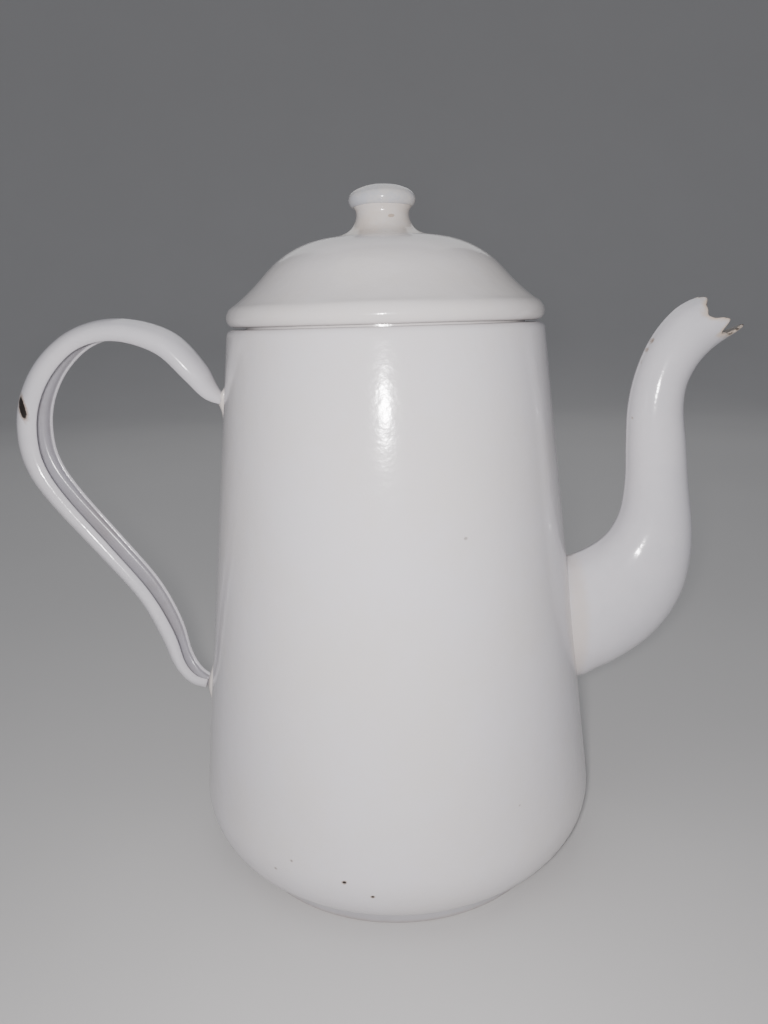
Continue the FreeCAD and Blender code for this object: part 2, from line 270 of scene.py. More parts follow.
def faces_out(piece, at_mm, towards):
    """Makes all faces agree, with the one nearest to a point looking along a direction."""
    bpy.ops.object.mode_set(mode="EDIT")
    bpy.ops.mesh.select_all(action="SELECT")
    bpy.ops.mesh.normals_make_consistent(inside=False)
    bpy.ops.object.mode_set(mode="OBJECT")
    at = Vector(at_mm) * MM
    nearest = min(piece.data.polygons, key=lambda f: (f.center - at).length)
    if nearest.normal.dot(Vector(towards)) < 0:
        flip(piece)


def give_wall(piece, thickness, inside=False):
    """Turns a sheet into a wall of some thickness behind its face, and subdivides it. With inside
    set, the hidden side takes the piece's second material, whose two slots are made here."""
    wall = piece.modifiers.new("sheet", "SOLIDIFY")
    wall.thickness = thickness * MM
    wall.offset = -1
    wall.use_even_offset = True
    round_off = piece.modifiers.new("smooth", "SUBSURF")
    round_off.levels = round_off.render_levels = 1
    if inside:
        piece.data.materials.append(None)
        piece.data.materials.append(None)
        wall.material_offset = 1


def hand_made(piece, size, depth):
    """Slow waves pressed into a surface, always inwards, as hand work and firing leave them."""
    waves = bpy.data.textures.new(f"{piece.name}_waves", "CLOUDS")
    waves.noise_scale = size * MM
    waves.noise_depth = 1
    dent = piece.modifiers.new("waves", "DISPLACE")
    dent.texture = waves
    dent.texture_coords = "LOCAL"
    dent.strength = depth * MM
    dent.mid_level = 1.0


# %% [markdown]
# The body. On the real pot it is one drawn and rolled shell: a flat lip with a rounded shoulder at the
# mouth, a long tapered wall, and a generous round corner that turns in to the foot. The corner is part
# of an ellipse. The outline runs from the mouth down, and the sheet's thickness is added behind it.

# %% Body wall


def corner_points(first, last, steps):
    """The body's lower corner, by angle on its ellipse."""
    points = []
    for i in range(steps + 1):
        t = math.radians(first + (last - first) * i / steps)
        points.append((CORNER["r"] + CORNER["a"] * math.cos(t), CORNER["z"] + CORNER["b"] * math.sin(t)))
    return points


shoulder_z = RIM_Z - SHOULDER
shoulder_r = wall_r(shoulder_z) - SHOULDER * 1.007
cone_rings = 24
cone = [(wall_r(z), z) for z in
        [shoulder_z - 3 - i * (shoulder_z - 3 - 27) / cone_rings for i in range(cone_rings + 1)]]
FLANGE_R = 51.2
wall_outline = joined([(MOUTH_R, RIM_Z - 0.05), (MOUTH_R + 0.5, RIM_Z), (shoulder_r - 0.3, RIM_Z)],
                      bend(shoulder_r, shoulder_z, SHOULDER, 90, 7, 6), cone,
                      corner_points(6, -75, 16), [(FLANGE_R, 3.4), (FLANGE_R, 1.2)])
pot_wall = turned("pot_wall", wall_outline, 128)
faces_out(pot_wall, (0, -wall_r(100), 100), (0, -1, 0))
hand_made(pot_wall, 38, 0.3)
give_wall(pot_wall, SHEET)
finish_modifiers(pot_wall)

# %% [markdown]
# Behind the spout the wall is punched with small holes that hold the grounds back. They are drilled
# the simple way, with one Boolean against a bunch of cylinders that are joined first.

# %% Strainer holes
HOLE_R = 2.5
HOLE_Z = 72.0
ROWS = {-12.8: 3, -6.4: 4, 0: 3, 6.4: 4, 12.8: 3}
drills = []
for lift, count in ROWS.items():
    for i in range(count):
        start_fresh()
        across = (i - (count - 1) / 2) * 7.2
        bpy.ops.mesh.primitive_cylinder_add(vertices=24, radius=HOLE_R * MM, depth=20 * MM,
                                            location=(58 * MM, across * MM, (HOLE_Z + lift) * MM),
                                            rotation=(0, math.pi / 2, 0))
        drills.append(bpy.context.object)
start_fresh()
for drill in drills:
    drill.select_set(True)
bpy.context.view_layer.objects.active = drills[0]
bpy.ops.object.join()
bunch = bpy.context.object
cut = pot_wall.modifiers.new("holes", "BOOLEAN")
cut.operation = "DIFFERENCE"
cut.solver = "EXACT"
cut.object = bunch
finish_modifiers(pot_wall)
bpy.data.objects.remove(bunch)

# %% [markdown]
# The bottom pan is a disc whose edge is folded down and up again round the wall's flange. That fold is
# the foot ring the pot stands on, so its outline has a flat underside and small round turns.

# %% Bottom pan and foot ring
FOOT_IN = 49.0
FOLD = 0.7
PAN_UNDER = 2.7
pan_outline = joined([(FOOT_R - 0.4, 3.95), (FOOT_R - 0.08, 3.75), (FOOT_R, 3.1), (FOOT_R, 2.0)],
                     bend(FOOT_R - FOLD, FOLD, FOLD, 0, -90, 3),
                     bend(FOOT_IN + FOLD, FOLD, FOLD, -90, -180, 3),
                     [(FOOT_IN, 1.7)], bend(FOOT_IN - 1.0, PAN_UNDER - 1.0, 1.0, 0, 90, 3),
                     [(r, PAN_UNDER) for r in (45, 36, 26, 16, 8, 3)])
foot_pan = turned("foot_pan", pan_outline, 96, closed_end=True)
faces_out(foot_pan, (30, 0, PAN_UNDER), (0, 0, -1))
give_wall(foot_pan, SHEET)
finish_modifiers(foot_pan)

# %% [markdown]
# The spout changes from a tall oval at the wall to a near circle at the mouth while it bends like a
# swan's neck. It is built from hoops: each is a circle, squeezed to its oval, tipped square to the
# neck's line and moved to its place, and neighbouring hoops are bridged. The hoops between the
# stations follow a smooth curve through them, so a few stations are enough to steer the shape.

# %% Hoop helpers


def between(stations, steps):
    """Stations with others between them on a smooth curve: a Catmull-Rom spline through each value."""
    rows = [stations[0]] + list(stations) + [stations[-1]]
    out = []
    for a, b, c, d in zip(rows, rows[1:], rows[2:], rows[3:]):
        for i in range(steps):
            t = i / steps
            out.append(tuple(
                0.5 * (2 * q + (r - p) * t + (2 * p - 5 * q + 4 * r - s) * t * t
                       + (3 * q - p - 3 * r + s) * t ** 3) for p, q, r, s in zip(a, b, c, d)))
    return out + [tuple(stations[-1])]


def hoop(piece, station, around):
    """Adds one oval hoop in edit mode and leaves it selected."""
    x, z, degrees, half_in_plane, half_across = station
    bpy.ops.mesh.select_all(action="DESELECT")
    bpy.ops.mesh.primitive_circle_add(vertices=around, radius=MM, location=(0, 0, 0))
    bpy.ops.transform.resize(value=(half_in_plane, half_across, 1), center_override=(0, 0, 0))
    bpy.ops.transform.rotate(value=math.radians(90 + degrees), orient_axis="Y", center_override=(0, 0, 0))
    bpy.ops.transform.translate(value=(x * MM, 0, z * MM))


def hooped(name, stations, around):
    """A tube of bridged hoops. Vertex i of hoop k has the index k * around + i."""
    start_fresh()
    bpy.ops.mesh.primitive_circle_add(vertices=3, radius=MM, location=(0, 0, 0))
    piece = bpy.context.object
    piece.name = name
    bpy.ops.object.mode_set(mode="EDIT")
    bpy.ops.mesh.delete(type="VERT")
    for k, station in enumerate(stations):
        hoop(piece, station, around)
        if k:
            shape = bmesh.from_edit_mesh(piece.data)
            shape.verts.ensure_lookup_table()
            for vertex in shape.verts[(k - 1) * around:k * around]:
                vertex.select = True
            for edge in shape.edges:
                edge.select = edge.verts[0].select and edge.verts[1].select and not edge.link_faces[1:]
            bmesh.update_edit_mesh(piece.data)
            bpy.ops.mesh.bridge_edge_loops()
    bpy.ops.mesh.select_all(action="SELECT")
    bpy.ops.mesh.normals_make_consistent(inside=False)
    bpy.ops.object.mode_set(mode="OBJECT")
    return piece


# %% [markdown]
# The spout's own stations, from the side: x and z of the middle, how steeply the neck rises
# there, and half its size in the side view and across. The mouth isn't cut square. Its back ends in a
# peak, a notch leads to a small ear on each side, and below the ear the lip reaches far out, which
# makes the last drop fall clear. The cut is given as how far the edge reaches along the neck, going
# round from the back peak to the lip.

# %% Spout
SPOUT = [
    (62.5, 74.0, 10, 19.9, 14.8), (69.0, 77.0, 16, 19.3, 14.2), (77.0, 82.8, 28, 18.1, 13.1),
    (82.9, 91.5, 47, 15.7, 11.8), (85.3, 103.5, 70, 12.1, 10.5), (84.8, 117.0, 86, 9.7, 9.5),
    (83.8, 130.0, 92, 9.0, 8.8), (83.1, 141.0, 89, 8.3, 8.3), (84.4, 150.0, 75, 7.9, 8.0),
    (88.0, 158.2, 59, 8.1, 8.0), (93.6, 164.6, 45, 8.2, 8.0), (99.8, 168.1, 33, 7.5, 7.8),
]
MOUTH_CUT = {0: -1.3, 20: -0.4, 52: -2.8, 68: -4.1, 80: -3.1, 92: -0.5, 104: 0.9, 122: -3.4,
             140: -1.3, 180: 5.8}
SPOUT_SHEET = 1.1
AROUND = 72
ROOT_RINGS = [(-1.1, 1.03), (-0.2, 1.024), (0.8, 1.008), (2.5, 1.0)]
root = (57.0, 72.9, 8, 20.5, 15.3)
spout_rows = [(root[0] + out, *root[1:]) for out, grow in ROOT_RINGS] + between(SPOUT, 4)
spout = hooped("spout", spout_rows, AROUND)


def smooth_table(table, at):
    """Value between the table's entries, eased so that it has no kinks at them."""
    keys = sorted(table)
    for low, high in zip(keys, keys[1:]):
        if at <= high:
            t = (at - low) / (high - low)
            return table[low] + (table[high] - table[low]) * (t * t * (3 - 2 * t))
    return table[keys[-1]]


def hoop_angle(i, around):
    """How far round a hoop's vertex i is from the hoop's upper or inner side, in degrees."""
    a = 2 * math.pi * i / around
    return math.degrees(math.acos(max(-1, min(1, -math.sin(a)))))


def lay_root_on_wall(piece):
    """The spout's first hoops lie on the round wall, each a little further out and smaller."""
    for k, (out, grow) in enumerate(ROOT_RINGS):
        for vertex in piece.data.vertices[k * AROUND:(k + 1) * AROUND]:
            y = vertex.co.y / MM * grow
            z = root[1] + (vertex.co.z / MM - root[1]) * grow
            x = math.sqrt((wall_r(z) + out) ** 2 - y * y)
            vertex.co = Vector((x, y, z)) * MM


def cut_mouth(piece):
    """The last hoops slide along the neck to follow the mouth's cut edge."""
    last = len(spout_rows) - 1
    easing = {0: 1.0, 1: 0.72, 2: 0.45, 3: 0.2}
    heading = math.radians(SPOUT[-1][2])
    along = Vector((math.cos(heading), 0, math.sin(heading)))
    for back, share in easing.items():
        first = (last - back) * AROUND
        for i in range(AROUND):
            reach = smooth_table(MOUTH_CUT, hoop_angle(i, AROUND))
            piece.data.vertices[first + i].co += along * reach * share * MM


def raise_seam(piece, height):
    """The weld line of the two halves: a low ridge along the neck's inner and outer curve."""
    for k in range(len(ROOT_RINGS), len(spout_rows)):
        for i in (AROUND // 4, 3 * AROUND // 4):
            vertex = piece.data.vertices[k * AROUND + i]
            middle = Vector((spout_rows[k][0], 0, spout_rows[k][1])) * MM
            vertex.co += (vertex.co - middle).normalized() * height * MM


def mark_edge(piece, reach):
    """Stores how near each point is to the mouth's edge, for the worn enamel there."""
    count = len(piece.data.vertices)
    worn = [0.0] * count
    for i in range(AROUND):
        edge = piece.data.vertices[count - AROUND + i].co
        for k in range(len(spout_rows)):
            index = k * AROUND + i
            worn[index] = max(0.0, 1 - (piece.data.vertices[index].co - edge).length / MM / reach)
    layer = piece.data.attributes.new("worn", "FLOAT", "POINT")
    layer.data.foreach_set("value", worn)


lay_root_on_wall(spout)
cut_mouth(spout)
raise_seam(spout, 0.35)
mark_edge(spout, 7.0)
faces_out(spout, (84.8, -9.9, 117), (0, -1, 0))
give_wall(spout, SPOUT_SHEET, inside=True)
finish_modifiers(spout)

# %% [markdown]
# The handle is a strip of sheet pressed into a channel: bowed on the outside, its edges rolled in,
# open on the side that the fingers hold. So it is a tube of hoops with a slot: the faces on the inner
# side are deleted and the sheet is then given its thickness. Both ends are pinched to small tabs.
# Each station is chosen for a slot that is open a little. Opening it further would make the channel
# shallower, so the hoop is made deeper until its lips lie where they were. The last two numbers of a
# station nudge the channel's back and its lips outwards.

# %% Handle strap
STRAP = [
    (-50.8, 146.6, 158, 1.45, 2.4, 0, 0), (-54.6, 149.4, 138, 2.8, 4.6, 0.3, 0),
    (-59.2, 155.4, 128, 3.7, 7.0, 0.8, 0.3), (-67.4, 163.6, 145, 3.8, 7.9, 1.3, 0.5),
    (-80.0, 168.2, 180, 3.9, 8.0, 0.1, 0.2), (-92.0, 165.7, 205, 4.0, 8.0, 0.4, 0.8),
    (-102.0, 158.4, 228, 4.2, 8.0, 0.2, 0.2), (-108.4, 148.0, 253, 4.4, 8.0, 0, -0.1),
    (-110.3, 137.0, 271, 4.5, 8.0, -0.15, -0.1), (-108.6, 127.0, 292, 4.5, 8.0, -0.4, 0),
    (-102.8, 116.4, 305, 4.4, 8.0, -0.9, 0), (-90.6, 100.2, 308, 4.2, 7.9, -1.0, 0.1),
    (-80.0, 85.2, 303, 4.1, 7.7, -1.3, 0), (-74.0, 71.4, 290, 3.8, 7.3, -1.0, -0.3),
    (-70.8, 61.0, 291, 3.6, 6.4, -0.9, 0.4), (-67.2, 54.9, 314, 3.2, 4.8, -0.8, 0.2),
    (-62.8, 52.6, 342, 2.62, 3.0, -0.3, 0.2),
]
STRAP_SHEET = 1.25
STRAP_AROUND = 48
FIRST_SLOT_ANGLE = 38
SLOT_ANGLE = 52.5


def depth_share(slot_angle):
    """How deep a channel is from its back to its lips, as a share of its hoop's half size."""
    return 1 + math.cos(math.radians(slot_angle))


def opened(x, z, degrees, half, half_across, back, lips):
    """The hoop that keeps the channel's depth when its slot is open to SLOT_ANGLE."""
    depth = half * depth_share(FIRST_SLOT_ANGLE) + back - lips
    deeper = depth / depth_share(SLOT_ANGLE)
    out = half + back - deeper
    heading = math.radians(degrees)
    return x + out * math.sin(heading), z - out * math.cos(heading), degrees, deeper, half_across


strap_rows = between([opened(*station) for station in STRAP], 5)
strap = hooped("handle", strap_rows, STRAP_AROUND)


def open_slot(piece):
    """Deletes the faces on the channel's inner side."""
    bpy.ops.object.mode_set(mode="EDIT")
    bpy.ops.mesh.select_mode(type="VERT")
    bpy.ops.mesh.select_all(action="DESELECT")
    shape = bmesh.from_edit_mesh(piece.data)
    shape.verts.ensure_lookup_table()
    for vertex in shape.verts:
        vertex.select = hoop_angle(vertex.index % STRAP_AROUND, STRAP_AROUND) < SLOT_ANGLE
    bpy.ops.mesh.delete(type="VERT")
    bpy.ops.object.mode_set(mode="OBJECT")


open_slot(strap)
faces_out(strap, (-114.8, 0, 137), (-1, 0, 0))
give_wall(strap, STRAP_SHEET, inside=True)
finish_modifiers(strap)

# %% [markdown]
# Each end of the strap is brazed to a small lug on the wall, and the enamel has run into the joint and
# drawn it out into a soft tapered streak. The lugs are stacked level hoops that swell and fade, with
# their inner side sunk in the wall.

# %% Lugs
TOP_LUG = {136.5: (0.2, 0.6), 139: (0.5, 1.0), 142: (0.9, 1.5), 144.2: (1.6, 1.9), 146: (2.5, 2.2),
           147.6: (2.7, 2.2), 149.2: (1.7, 2.0), 150.6: (0.8, 1.5), 152: (0.2, 0.7)}
BOTTOM_LUG = {42.5: (0.2, 0.6), 45: (0.7, 1.2), 48: (1.5, 2.0), 51: (2.2, 2.6), 54: (2.2, 2.6),
              57: (1.4, 2.1), 59.5: (0.8, 1.5), 61.5: (0.2, 0.7)}
SUNK = 0.7


def lug(name, swell):
    """A streak of enamel-covered steel on the wall: height to how far it stands out and half its width."""
    rows = []
    for z, (stands_out, half_wide) in swell.items():
        half = (stands_out + SUNK) / 2
        rows.append((-wall_r(z) - stands_out + half, z, 90, half, half_wide))
    piece = hooped(name, between(rows, 2), 24)
    bpy.ops.object.mode_set(mode="EDIT")
    for end in (min(swell), max(swell)):
        pick(piece, lambda c: abs(c.z / MM - end) < 0.01)
        bpy.ops.mesh.edge_face_add()
    bpy.ops.mesh.select_all(action="SELECT")
    bpy.ops.mesh.normals_make_consistent(inside=False)
    bpy.ops.object.mode_set(mode="OBJECT")
    smooth = piece.modifiers.new("smooth", "SUBSURF")
    smooth.levels = smooth.render_levels = 1
    return finish_modifiers(piece)


top_lug = lug("handle_lug_top", TOP_LUG)
bottom_lug = lug("handle_lug_bottom", BOTTOM_LUG)

# %% [markdown]
# The lid is a shallow dome that sweeps out to a rolled bead, the thick round brim that rests on the
# body. The outline starts at the rivet's hole under the knob and ends inside the roll. Under the dome a
# plain ring, the collar, drops into the mouth and keeps the lid in place.

# %% Lid dome and collar
DOME_TOP = 192.8
BROW = {"r": 43.2, "z": LID_LOW + 2.5, "radius": 4.1}
TUCK = 2.5
tuck_r = BROW["r"] + BROW["radius"] - TUCK
brow = bend(BROW["r"], BROW["z"], BROW["radius"], 70, 0, 7)
dome_outline = joined([(3.0, DOME_TOP), (7.0, DOME_TOP)],
                      through((11.0, 192.7), (25.0, 190.7), (35.4, 183.2), 9),
                      through((35.4, 183.2), (38.7, 179.7), brow[0], 6), brow,
                      bend(tuck_r, BROW["z"], TUCK, 0, -90, 6),
                      bend(tuck_r, BROW["z"], TUCK, -90, -128, 2))
lid = turned("lid", dome_outline, 112)
faces_out(lid, (20, 0, 192), (0, 0, 1))
hand_made(lid, 30, 0.2)
give_wall(lid, 1.1)
finish_modifiers(lid)

collar = turned("lid_ring", [(COLLAR_R, 176.0), (COLLAR_R, 175.0), (COLLAR_R, 168.0), (COLLAR_R, 160.0),
                             (COLLAR_R, COLLAR_LOW + 0.8), (COLLAR_R - 0.2, COLLAR_LOW + 0.1)], 96)
faces_out(collar, (COLLAR_R, 0, 165), (1, 0, 0))
give_wall(collar, SHEET)
finish_modifiers(collar)

# %% [markdown]
# The knob is hollow: a spool that flares on to the dome, and a mushroom cap crimped over its top. Thick
# enamel has rounded every edge and left the surface a little lumpy, so both get small waves. The rivet
# that holds them shows only as a flat head under the lid.

# %% Knob
neck = turned("knob_neck_glazed", joined(
    [(15.6, DOME_TOP + 0.05), (14.4, DOME_TOP + 0.35), (12.8, 193.7), (11.0, 194.4), (9.6, 195.4),
     (8.6, 196.7), (8.0, 198.2), (7.8, 199.5), (8.0, 200.5), (8.6, 201.2), (8.7, 201.9), (8.0, 202.4)]), 64)
faces_out(neck, (7.8, 0, 199.5), (1, 0, 0))
hand_made(neck, 9, 0.3)
give_wall(neck, SHEET)
finish_modifiers(neck)

cap = turned("knob_cap_glazed", joined(
    [(7.9, 201.6), (8.5, 201.1), (9.3, 201.6), (9.9, 202.6), (10.05, 203.6), (9.65, 204.8), (8.7, 205.75),
     (7.0, 206.65), (5.0, 207.3), (3.0, 207.7), (1.4, KNOB_TOP - 0.03)]), 64, closed_end=True)
faces_out(cap, (0, 0, KNOB_TOP), (0, 0, 1))
hand_made(cap, 8, 0.4)
give_wall(cap, 0.9)
finish_modifiers(cap)

rivet_outline = [(2.3, 203.2), (2.4, 202.8), (2.4, 192.1), (5.0, 191.95), (5.2, 191.6), (4.9, 191.0),
                 (3.4, 190.5), (1.6, 190.35)]
rivet = turned("knob_rivet_head", rivet_outline, 48, closed_end=True, closed_start=True)
smooth = rivet.modifiers.new("smooth", "SUBSURF")
smooth.levels = smooth.render_levels = 1
finish_modifiers(rivet)

# %% [markdown]
# Now the glaze. Vitreous enamel is glass: white, glossy, never quite even. Several effects are needed by
# more than one piece, so each is a node group with its own values wherever it is used: slow changes of
# tone, the orange-peel ripple, pinholes where gas came through in the kiln, ragged spots for chips and
# stains, and wear along an edge. Groups give masks, colours and heights only; the shader stays outside.

# %% Node helpers


def put(tree, kind, inputs=None, **settings):
    """Adds a node, sets it up, and fills its inputs with values or links."""
    made = tree.nodes.new(kind)
    for name, value in settings.items():
        setattr(made, name, value)
    for name, value in (inputs or {}).items():
        socket = made.inputs[name]
        if isinstance(value, bpy.types.NodeSocket):
            tree.links.new(value, socket)
        else:
            socket.default_value = value
    return made


def calc(tree, operation, a, b=0.0, clamp=False):
    """One sum of two numbers or links."""
    return put(tree, "ShaderNodeMath", {0: a, 1: b}, operation=operation, use_clamp=clamp).outputs[0]


def blend_colour(tree, share, first, second):
    """Mixes two colours by a mask."""
    mixed = put(tree, "ShaderNodeMix", {0: share, 6: first, 7: second}, data_type="RGBA")
    return mixed.outputs[2]


def ease(tree, value, low, high, to_low=0.0, to_high=1.0):
    """Smooth step between two values."""
    step = put(tree, "ShaderNodeMapRange", {"Value": value, "From Min": low, "From Max": high,
                                            "To Min": to_low, "To Max": to_high})
    step.interpolation_type = "SMOOTHSTEP"
    return step.outputs["Result"]


def new_group(name, inputs, outputs):
    """An empty node group with named sockets: {"name": (type, default)}."""
    tree = bpy.data.node_groups.new(name, "ShaderNodeTree")
    for label, (kind, default) in inputs.items():
        socket = tree.interface.new_socket(name=label, in_out="INPUT", socket_type=f"NodeSocket{kind}")
        socket.default_value = default
    for label, kind in outputs.items():
        tree.interface.new_socket(name=label, in_out="OUTPUT", socket_type=f"NodeSocket{kind}")
    entry = tree.nodes.new("NodeGroupInput")
    leave = tree.nodes.new("NodeGroupOutput")
    return tree, entry.outputs, leave.inputs


def place_of(tree):
    """Where the point is on the object, in metres."""
    return tree.nodes.new("ShaderNodeTexCoord").outputs["Object"]


def use(tree, group, inputs=None):
    """Places a group in a material with its own values."""
    made = put(tree, "ShaderNodeGroup", node_tree=group)
    for name, value in (inputs or {}).items():
        socket = made.inputs[name]
        if isinstance(value, bpy.types.NodeSocket):
            tree.links.new(value, socket)
        else:
            socket.default_value = value
    return made.outputs


# %% [markdown]
# Tone: white enamel drifts between a cooler and a warmer, thinner-looking white over some centimetres,
# with fine cloudiness on top. The same noise makes the gloss a touch uneven.

# %% Group: glaze tone
glaze_tone, given, gives = new_group(
    "glaze_tone", {"Main": ("Color", (0.8, 0.8, 0.8, 1)), "Drift": ("Color", (0.7, 0.7, 0.7, 1)),
                   "Size": ("Float", 0.03), "Amount": ("Float", 0.5)},
    {"Color": "Color", "Gloss change": "Float"})
t = glaze_tone
slow = put(t, "ShaderNodeTexNoise", {"Vector": place_of(t), "Scale": calc(t, "DIVIDE", 1.0, given["Size"]),
                                     "Detail": 3.0, "Roughness": 0.55}).outputs["Fac"]
fine = put(t, "ShaderNodeTexNoise", {"Vector": place_of(t), "Scale": calc(t, "DIVIDE", 9.0, given["Size"]),
                                     "Detail": 4.0, "Roughness": 0.7}).outputs["Fac"]
both = calc(t, "ADD", calc(t, "MULTIPLY", slow, 0.75), calc(t, "MULTIPLY", fine, 0.25))
t.links.new(blend_colour(t, calc(t, "MULTIPLY", ease(t, both, 0.36, 0.66), given["Amount"]),
                         given["Main"], given["Drift"]), gives["Color"])
t.links.new(ease(t, both, 0.3, 0.7), gives["Gloss change"])

# %% [markdown]
# Orange peel: the fired glass keeps a fine ripple that breaks up every reflection. Two noises, one the
# size of a lentil and one like sand, give the height that a Bump node turns into tilted normals.

# %% Group: orange peel
orange_peel, given, gives = new_group("orange_peel", {"Ripple": ("Float", 0.004), "Grain": ("Float", 0.0009)},
                                      {"Height": "Float"})
t = orange_peel
ripple = put(t, "ShaderNodeTexNoise", {
    "Vector": place_of(t), "Scale": calc(t, "DIVIDE", 1.0, given["Ripple"]), "Detail": 2.0}).outputs["Fac"]
grain = put(t, "ShaderNodeTexNoise", {
    "Vector": place_of(t), "Scale": calc(t, "DIVIDE", 1.0, given["Grain"]), "Detail": 1.0}).outputs["Fac"]
peel_height = calc(t, "ADD", calc(t, "MULTIPLY", ripple, 0.8), calc(t, "MULTIPLY", grain, 0.2))
t.links.new(peel_height, gives["Height"])

# %% [markdown]
# Pinholes: a Voronoi pattern divides the surface into cells, a cell's random colour decides whether it
# has a hole, and the distance to its point makes the round dark dot.

# %% Group: pinholes
pinholes, given, gives = new_group(
    "pinholes", {"Spacing": ("Float", 0.006), "Share": ("Float", 0.08), "Radius": ("Float", 0.0002)},
    {"Mask": "Float"})
t = pinholes
cells = put(t, "ShaderNodeTexVoronoi", {
    "Vector": place_of(t), "Scale": calc(t, "DIVIDE", 1.0, given["Spacing"])})
chance = put(t, "ShaderNodeSeparateColor", {"Color": cells.outputs["Color"]}).outputs["Red"]
has_hole = calc(t, "LESS_THAN", chance, given["Share"])
size = calc(t, "DIVIDE", given["Radius"], given["Spacing"])
dot = ease(t, calc(t, "DIVIDE", cells.outputs["Distance"], size), 0.6, 1.2, 1.0, 0.0)
t.links.new(calc(t, "MULTIPLY", dot, has_hole), gives["Mask"])

# %% [markdown]
# A ragged spot is the work-horse for chips, scuffs, stains and painted shade: an egg-shaped region round a
# centre whose edge is disturbed by noise. Its Tilt turns it about the Y axis, to follow the sloping handle or
# wall.

# %% Group: ragged spot
ragged_spot, given, gives = new_group(
    "ragged_spot", {"Centre": ("Vector", (0, 0, 0)), "Reach": ("Vector", (0.01, 0.01, 0.01)),
                    "Tilt": ("Float", 0.0), "Ragged": ("Float", 0.3), "Grain": ("Float", 0.002),
                    "Edge": ("Float", 0.15)},
    {"Mask": "Float"})
t = ragged_spot
offset = put(t, "ShaderNodeVectorMath", {0: place_of(t), 1: given["Centre"]}, operation="SUBTRACT").outputs[0]
turned_offset = put(t, "ShaderNodeVectorRotate", {"Vector": offset, "Angle": given["Tilt"]},
                    rotation_type="Y_AXIS").outputs[0]
scaled = put(t, "ShaderNodeVectorMath", {0: turned_offset, 1: given["Reach"]}, operation="DIVIDE").outputs[0]
distance = put(t, "ShaderNodeVectorMath", {0: scaled}, operation="LENGTH").outputs["Value"]
noise = put(t, "ShaderNodeTexNoise", {"Vector": place_of(t), "Scale": calc(t, "DIVIDE", 1.0, given["Grain"]),
                                      "Detail": 4.0, "Roughness": 0.65}).outputs["Fac"]
wobble = calc(t, "MULTIPLY", calc(t, "SUBTRACT", noise, 0.5), calc(t, "MULTIPLY", given["Ragged"], 2.0))
ragged = calc(t, "ADD", distance, wobble)
low_edge = calc(t, "SUBTRACT", 1.0, given["Edge"])
high_edge = calc(t, "ADD", 1.0, given["Edge"])
step = put(t, "ShaderNodeMapRange", {"Value": ragged, "From Min": low_edge, "From Max": high_edge,
                                     "To Min": 1.0, "To Max": 0.0})
step.interpolation_type = "SMOOTHSTEP"
t.links.new(step.outputs["Result"], gives["Mask"])

# %% [markdown]
# Worn edge: at the mouth the enamel has rubbed thin. First a cream tan shows, then brown, and at the
# very edge bare dark steel in places. The Worn input is 1 at the edge and falls to 0 along the surface.

# %% Group: worn edge
worn_edge, given, gives = new_group("worn_edge", {"Worn": ("Float", 0.0), "Grain": ("Float", 0.0025)},
                                    {"Tan": "Float", "Bare": "Float"})
t = worn_edge
noise = put(t, "ShaderNodeTexNoise", {"Vector": place_of(t), "Scale": calc(t, "DIVIDE", 1.0, given["Grain"]),
                                      "Detail": 4.0, "Roughness": 0.6}).outputs["Fac"]
disturbed = calc(t, "ADD", given["Worn"], calc(t, "MULTIPLY", calc(t, "SUBTRACT", noise, 0.5), 0.55))
t.links.new(ease(t, disturbed, 0.62, 1.0), gives["Tan"])
t.links.new(ease(t, disturbed, 1.0, 1.1), gives["Bare"])

# %% [markdown]
# Every enamelled piece gets a material from one recipe: tone, then stains and painted shade, pinholes,
# chips and worn edges laid over it, and the heights joined in one Bump. What differs is the list of
# spots and the amounts. Constant values, such as the glass's IOR, are set on the shader itself.

# %% Enamel recipe
COOL_WHITE = (0.76, 0.735, 0.765, 1)
WARM_WHITE = (0.74, 0.70, 0.675, 1)
GREY_WHITE = (0.66, 0.65, 0.69, 1)
CREAM = (0.70, 0.56, 0.42, 1)
TAN = (0.36, 0.24, 0.15, 1)
SOOT = (0.10, 0.085, 0.075, 1)
DARK_STEEL = (0.035, 0.028, 0.024, 1)
FOOT_GREY = (0.44, 0.43, 0.45, 1)
FOOT_PALE = (0.56, 0.55, 0.57, 1)
# painted shade: the dark grey of the crease over the foot ring
CREASE_PAINTED_SHADE = (0.16, 0.15, 0.15, 1)
# painted shade with a coffee stain, for the inside of the spout
SPOUT_DARK = (0.05, 0.036, 0.027, 1)
SPOUT_BROWN = (0.17, 0.12, 0.085, 1)
# painted shade for the inside of the handle's channel
SLOT_GREY = (0.46, 0.45, 0.49, 1)
SLOT_DIM = (0.34, 0.31, 0.30, 1)
LUG_CREAM = (0.72, 0.64, 0.56, 1)
CAP_BLUE = (0.54, 0.56, 0.61, 1)
CAP_WARM = (0.74, 0.69, 0.64, 1)
NECK_CREAM = (0.72, 0.63, 0.55, 1)
PEEL_DEPTH = 0.00009
RIM_GROWTH = 1.15


def mm3(x, y, z):
    """A place or size in millimetres as a vector in metres."""
    return (x * MM, y * MM, z * MM)


def spot(tree, entry):
    """Mask of one ragged spot, from its dictionary of values."""
    return use(tree, ragged_spot, {
        "Centre": mm3(*entry["at"]), "Reach": mm3(*entry["reach"]),
        "Tilt": math.radians(entry.get("tilt", 0)), "Ragged": entry.get("ragged", 0.3),
        "Grain": entry.get("grain", 2.0) * MM,
        "Edge": entry.get("edge", 0.15)})["Mask"]


